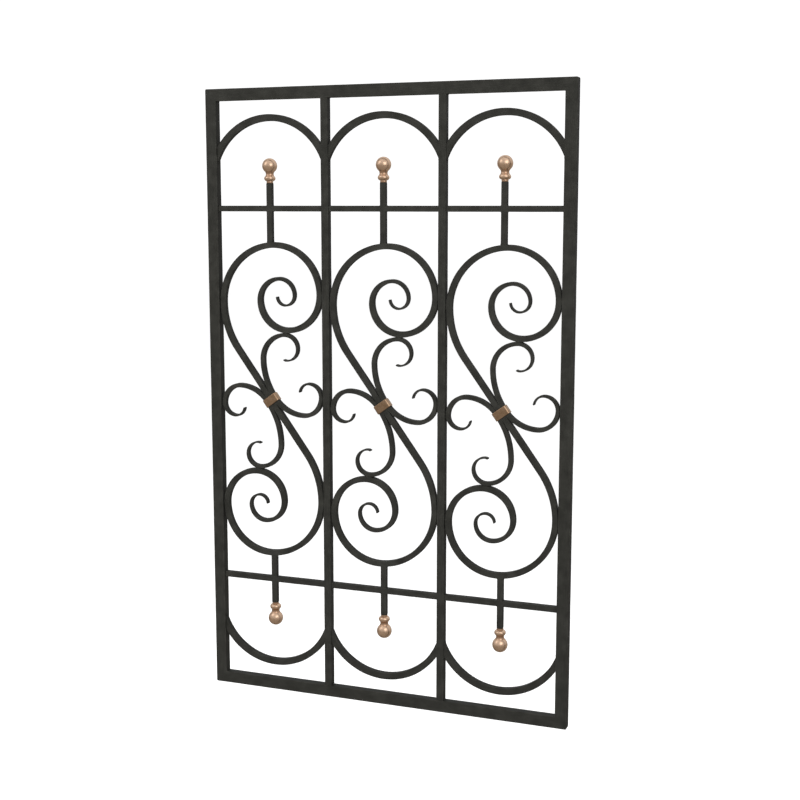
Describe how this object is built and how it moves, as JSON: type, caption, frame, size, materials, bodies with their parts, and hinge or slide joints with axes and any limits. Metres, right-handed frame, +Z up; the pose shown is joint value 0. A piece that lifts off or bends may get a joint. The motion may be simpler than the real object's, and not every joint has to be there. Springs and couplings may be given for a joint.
{
  "type": "window security bar",
  "caption": "Rectangular security grille for a window: a box-section frame divided into equal bays, each with an S-scroll, C-scrolls bound by a collar, arches and ball-tipped stems.",
  "frame": {"origin": "centre of the panel's overall box: mid width, mid height and mid depth", "axes": "+Z up the height of the panel, +X across its width to the right as seen from the front, +Y from the front to the window behind it"},
  "size_m": [0.834, 0.033, 1.35],
  "materials": {
    "iron": "matt charcoal paint over steel, hand-brushed",
    "copper": "polished rose-copper"
  },
  "bodies": {
    "root": {"left_stile": "iron", "right_stile": "iron", "top_rail": "iron", "bottom_rail": "iron", "left_upright": "iron", "right_upright": "iron", "upper_crossbar_left": "iron", "lower_crossbar_left": "iron", "top_arch_left": "iron", "bottom_arch_left": "iron", "upper_inner_stem_left": "iron", "upper_outer_stem_left": "iron", "lower_inner_stem_left": "iron", "lower_outer_stem_left": "iron", "upper_finial_left": "copper", "lower_finial_left": "copper", "s_scroll_left": "iron", "upper_c_scroll_left": "iron", "lower_c_scroll_left": "iron", "collar_left": "copper", "scroll_welds_left": "iron", "upper_crossbar_middle": "iron", "lower_crossbar_middle": "iron", "top_arch_middle": "iron", "bottom_arch_middle": "iron", "upper_inner_stem_middle": "iron", "upper_outer_stem_middle": "iron", "lower_inner_stem_middle": "iron", "lower_outer_stem_middle": "iron", "upper_finial_middle": "copper", "lower_finial_middle": "copper", "s_scroll_middle": "iron", "upper_c_scroll_middle": "iron", "lower_c_scroll_middle": "iron", "collar_middle": "copper", "scroll_welds_middle": "iron", "upper_crossbar_right": "iron", "lower_crossbar_right": "iron", "top_arch_right": "iron", "bottom_arch_right": "iron", "upper_inner_stem_right": "iron", "upper_outer_stem_right": "iron", "lower_inner_stem_right": "iron", "lower_outer_stem_right": "iron", "upper_finial_right": "copper", "lower_finial_right": "copper", "s_scroll_right": "iron", "upper_c_scroll_right": "iron", "lower_c_scroll_right": "iron", "collar_right": "copper", "scroll_welds_right": "iron"}
  },
  "joints": []
}
